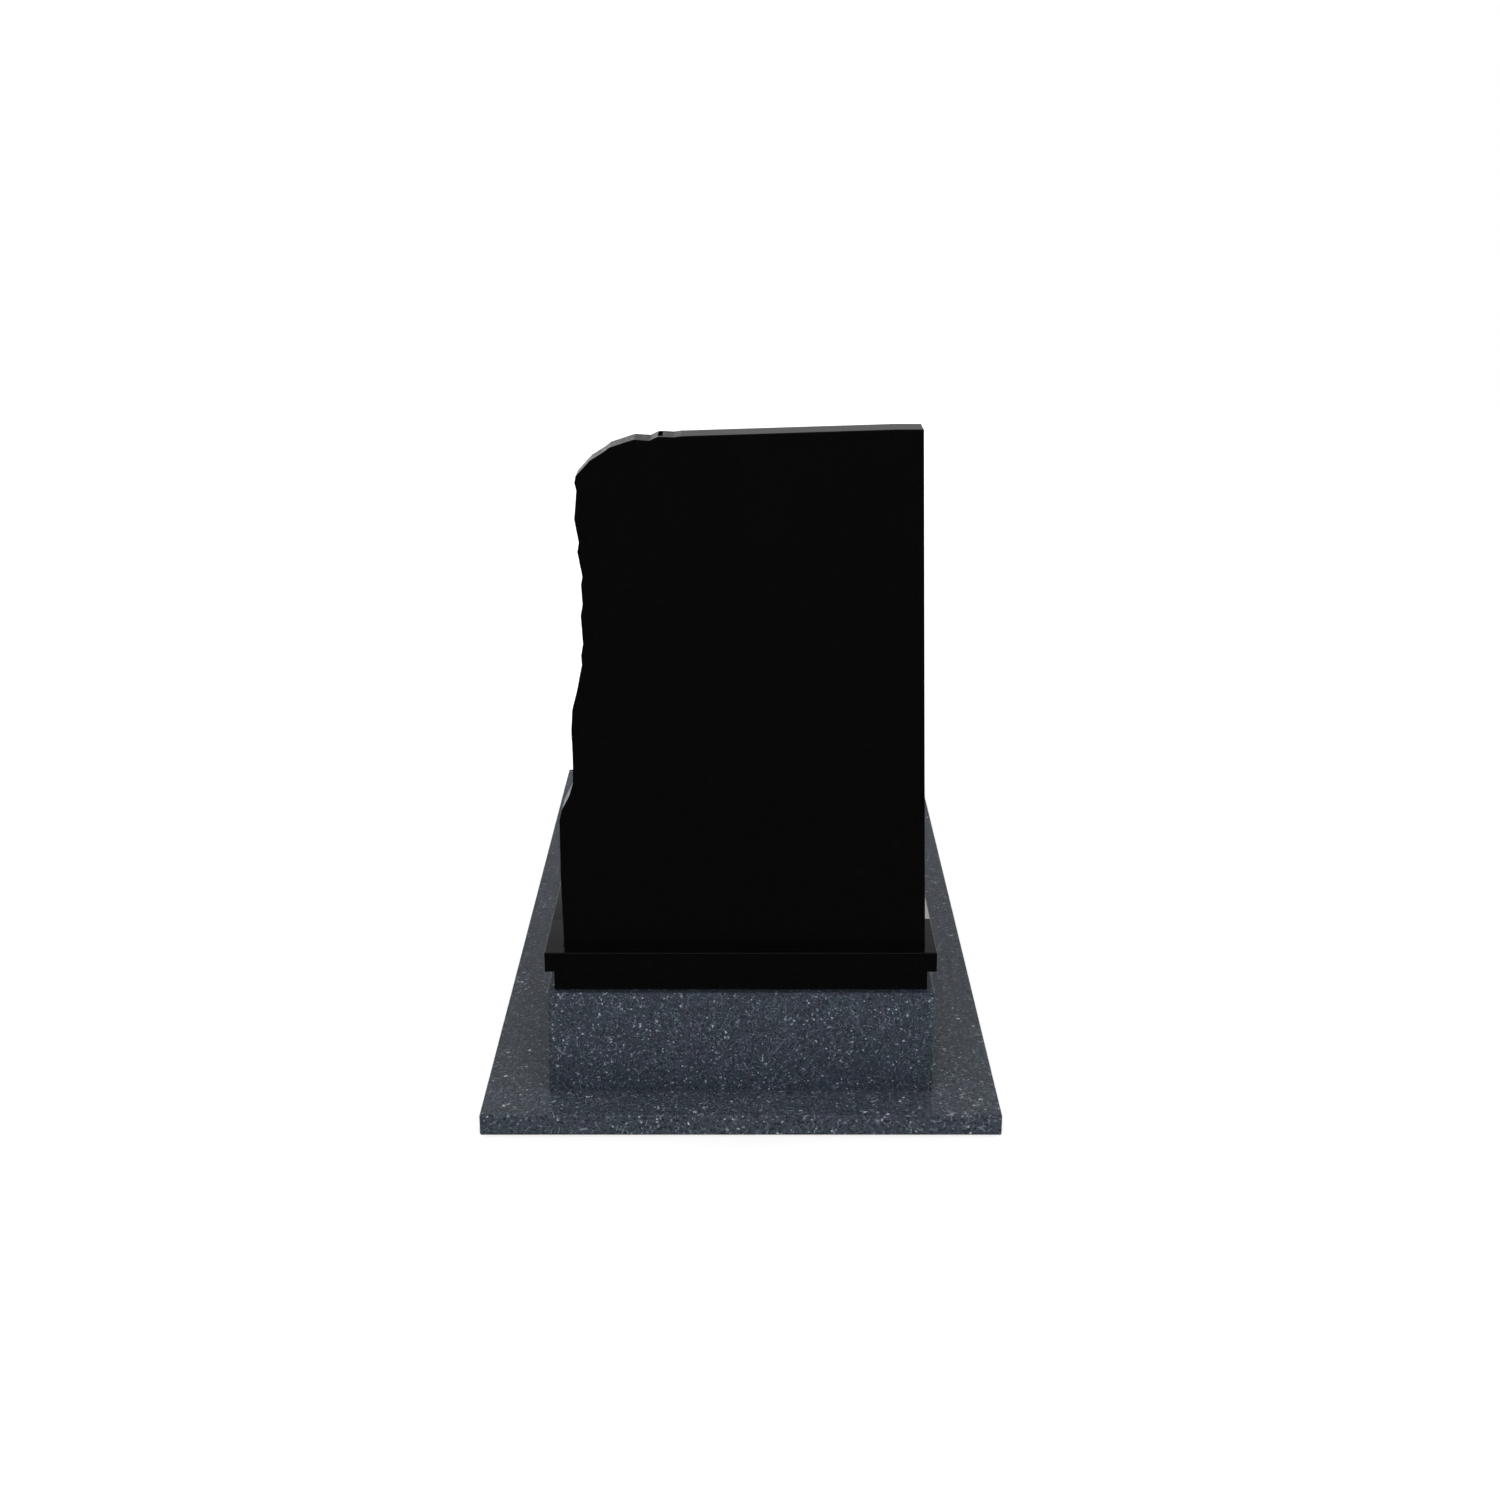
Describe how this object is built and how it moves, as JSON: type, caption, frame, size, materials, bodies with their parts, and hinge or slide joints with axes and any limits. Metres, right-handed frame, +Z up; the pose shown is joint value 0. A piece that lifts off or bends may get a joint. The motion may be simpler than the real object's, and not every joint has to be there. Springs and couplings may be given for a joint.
{
  "type": "headstone",
  "caption": "Upright headstone with a broken left edge on a capped plinth, at the head of a covered kerb surround on a ground slab.",
  "frame": {"origin": "middle of the ground slab's underside, which is the surface the memorial rests on", "axes": "+X across the grave, to the right for someone standing behind the headstone, +Y along the grave from the headstone to the foot, +Z up"},
  "size_m": [1, 2.07, 1.333],
  "materials": {
    "speckled_granite": "finely ground blue-grey granite with small pale flecks and dark grains",
    "black_granite": "polished black granite, rough and greyer where the headstone's left edge broke"
  },
  "bodies": {
    "root": {"ground_slab": "speckled_granite", "plinth_block": "speckled_granite", "left_kerb": "speckled_granite", "right_kerb": "speckled_granite", "foot_kerb": "speckled_granite", "neck_slab": "black_granite", "cap_slab": "black_granite", "cover_slab": "black_granite", "headstone": "black_granite"}
  },
  "joints": []
}
